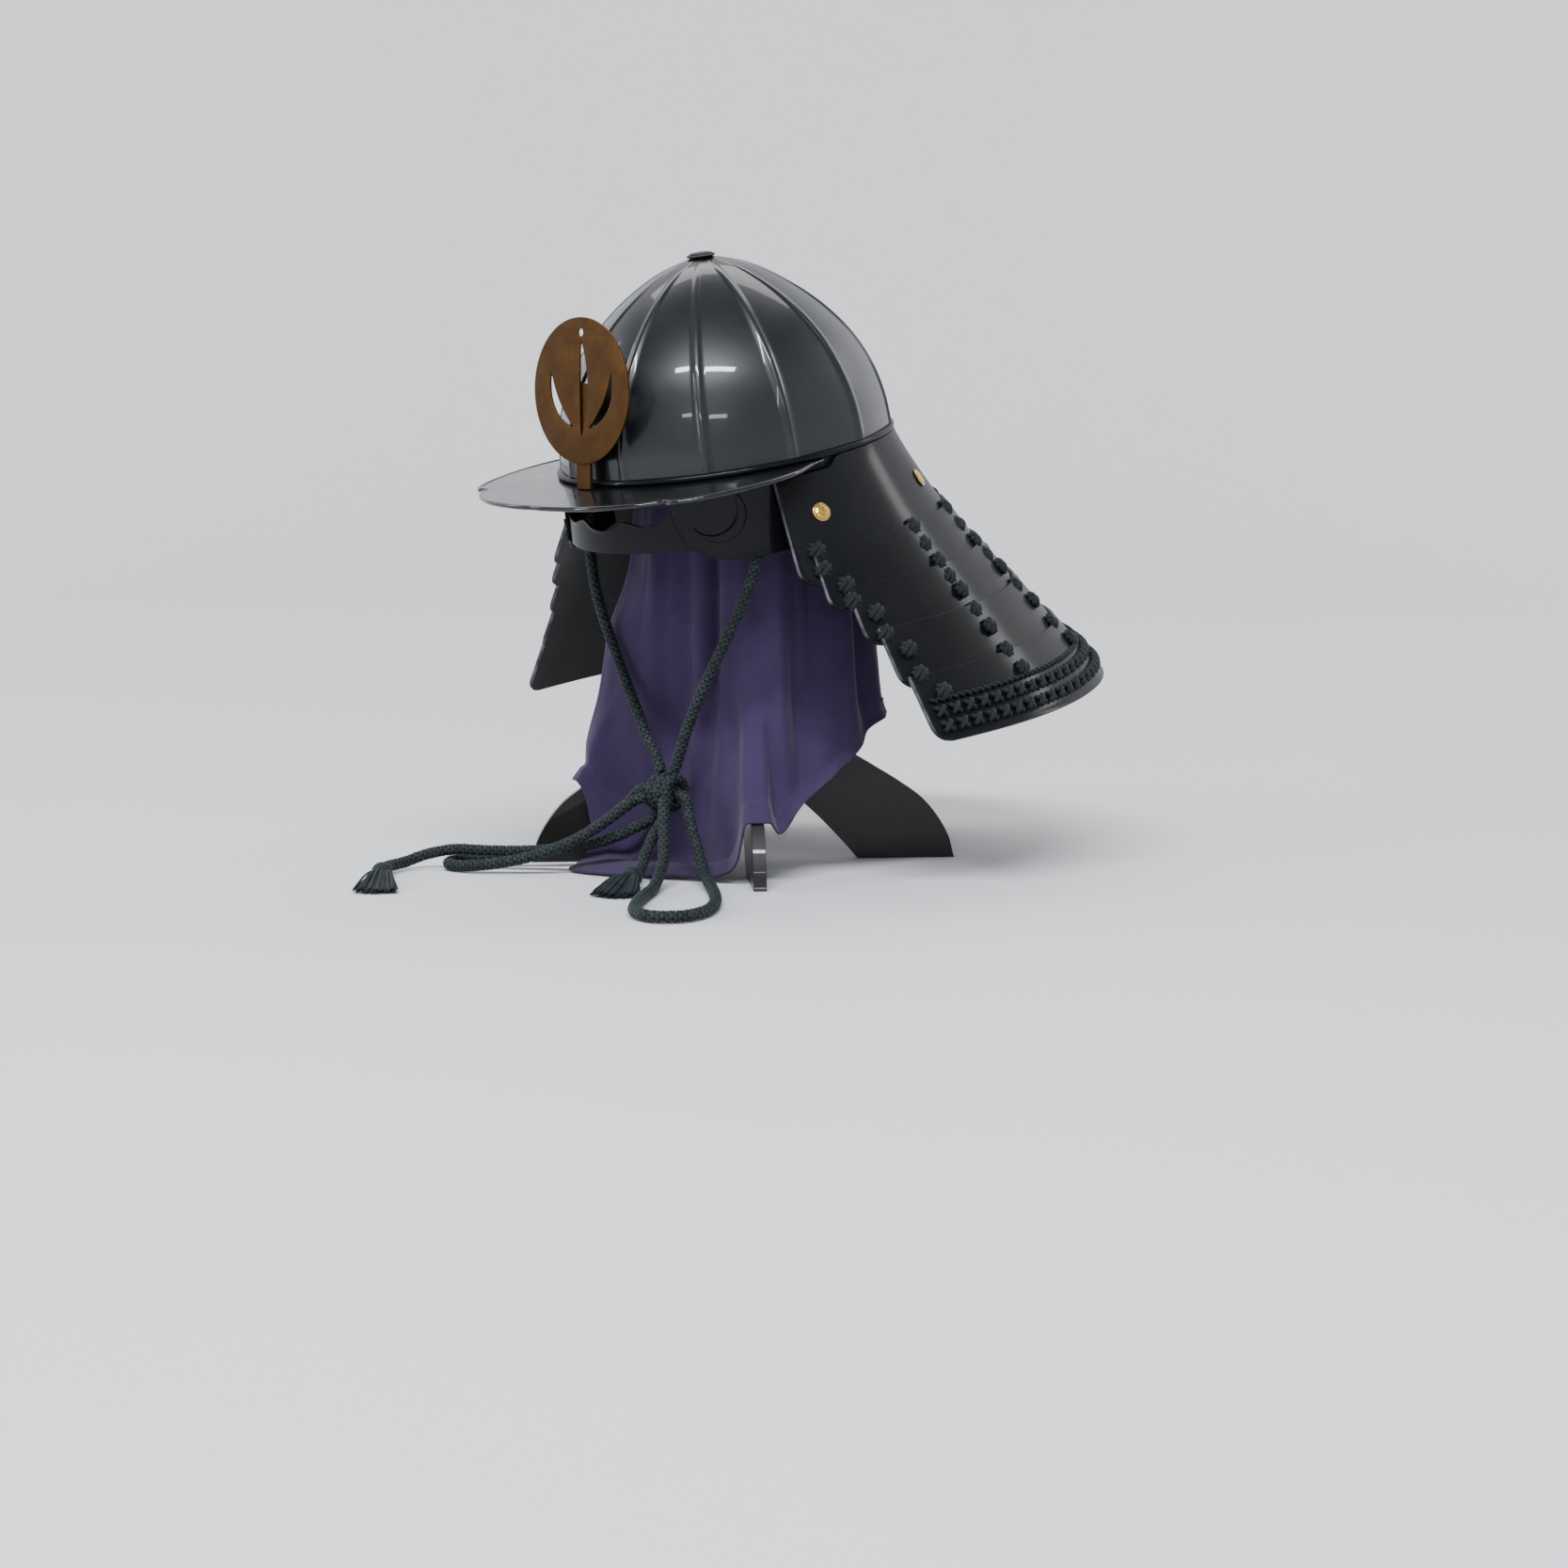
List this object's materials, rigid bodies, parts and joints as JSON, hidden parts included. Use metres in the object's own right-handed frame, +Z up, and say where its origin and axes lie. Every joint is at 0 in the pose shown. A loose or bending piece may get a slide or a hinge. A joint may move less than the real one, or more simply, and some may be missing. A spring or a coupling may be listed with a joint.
{
  "type": "kabuto helmet on display stand",
  "caption": "Black lacquered plate helmet with visor, laced flaring neck guard, bronze crest disc and chin cord, resting on a cross-board stand draped with cloth.",
  "frame": {"origin": "on the surface the stand rests on, below the middle of the helmet and stand without their cord", "axes": "+Z up, -Y the way the helmet faces, +X the helmet's own left side"},
  "size_m": [0.444, 0.5723, 0.4271],
  "materials": {
    "black_lacquer": "glossy black lacquer over iron",
    "gilt": "gilt, satin",
    "bronze": "dark brown bronze, satin",
    "cord_silk": "braided cord, matt",
    "black_wood": "black lacquered board, satin",
    "purple_cloth": "plain woven, matt"
  },
  "bodies": {
    "root": {"bowl": "black_lacquer", "crown_boss": "black_lacquer", "rim_band": "black_lacquer", "visor": "black_lacquer", "brow_plate": "black_lacquer", "side_plate_left": "black_lacquer", "side_plate_right": "black_lacquer", "lame_1": "black_lacquer", "lame_2": "black_lacquer", "lame_3": "black_lacquer", "lame_4": "black_lacquer", "lame_5": "black_lacquer", "rivet_1": "gilt", "rivet_2": "gilt", "rivet_3": "gilt", "rivet_4": "gilt", "crest_disc": "bronze", "crest_prong": "bronze", "chin_cord_left": "cord_silk", "chin_cord_right": "cord_silk", "bow_loop_left": "cord_silk", "bow_loop_right": "cord_silk", "cord_tail_left": "cord_silk", "cord_tail_right": "cord_silk", "knot": "cord_silk", "tassel_left": "cord_silk", "tassel_right": "cord_silk", "stand_board_a": "black_wood", "stand_board_b": "black_wood", "stand_head": "black_wood", "stand_cloth": "purple_cloth"}
  },
  "joints": []
}
